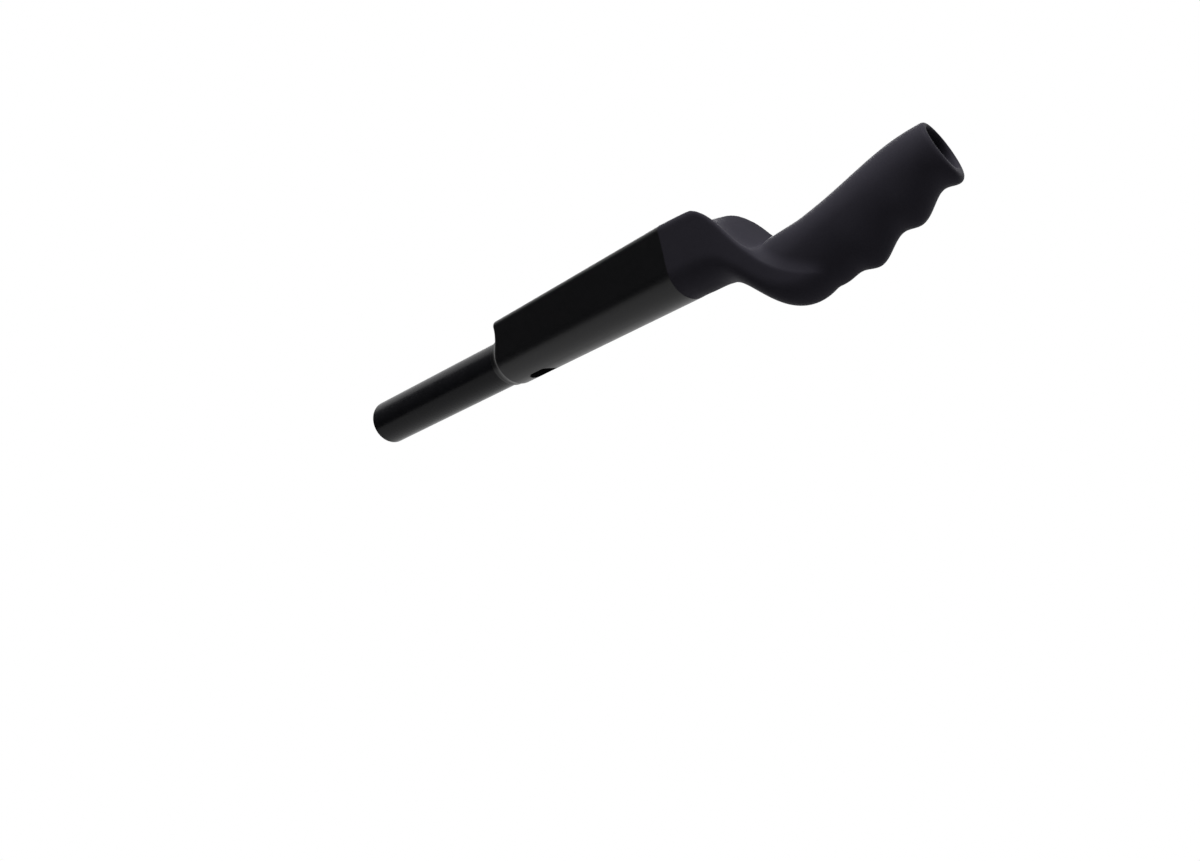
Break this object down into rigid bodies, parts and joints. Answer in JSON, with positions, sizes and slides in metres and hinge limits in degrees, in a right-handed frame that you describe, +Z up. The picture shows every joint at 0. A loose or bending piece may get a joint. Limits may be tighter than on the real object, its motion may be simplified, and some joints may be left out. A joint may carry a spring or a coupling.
{
  "type": "aero handlebar extension",
  "caption": "Aero handlebar extension for a time-trial bicycle: a round clamp tube, a tall hollow forearm base and a sculpted hand grip with finger grooves and an open end bore.",
  "frame": {"origin": "centre of the tube's open rear end", "axes": "+X forward along the tube, +Y towards the rider's other arm, +Z up"},
  "size_m": [0.3602, 0.0577, 0.0545],
  "materials": {
    "tube": "black composite tube, satin lacquer",
    "base": "black composite shell, satin-gloss lacquer",
    "grip": "sintered nylon, dyed black, matte and finely grained"
  },
  "bodies": {
    "root": {"extension_tube": "tube", "forearm_base": "base", "hand_grip": "grip"}
  },
  "joints": []
}
